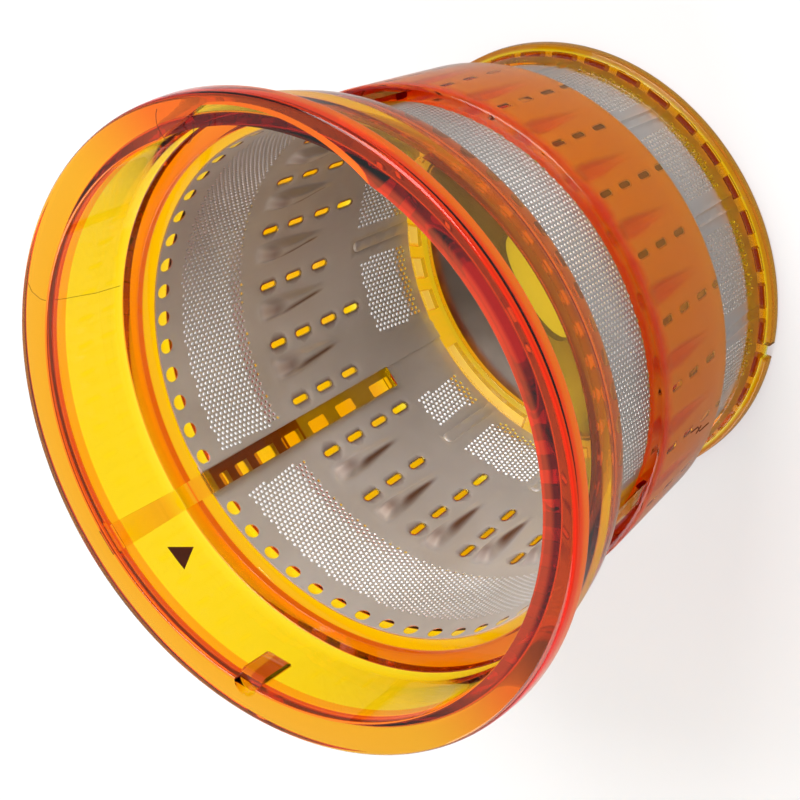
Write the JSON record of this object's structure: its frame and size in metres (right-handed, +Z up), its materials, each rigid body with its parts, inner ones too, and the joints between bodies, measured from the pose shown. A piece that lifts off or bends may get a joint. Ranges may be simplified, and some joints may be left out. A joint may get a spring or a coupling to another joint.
{
  "type": "juicer mesh screen",
  "caption": "Cone-shaped strainer basket for a slow juicer: perforated steel cone held in a clear amber moulded frame with a wide rim, middle band and bottom ring",
  "frame": {"origin": "on the axis of the cone, on the surface that the small end stands on", "axes": "+Z up through the wide mouth, -Y towards the seam of the steel cone, +X to the right of it"},
  "size_m": [0.114, 0.114, 0.0864],
  "materials": {
    "amber_plastic": "clear, polished, tinted amber",
    "screen_steel": "stainless, satin, perforated and pressed",
    "plate_steel": "stainless, satin"
  },
  "bodies": {
    "root": {"amber_frame": "amber_plastic", "steel_screen": "screen_steel", "bottom_plate": "plate_steel"}
  },
  "joints": []
}
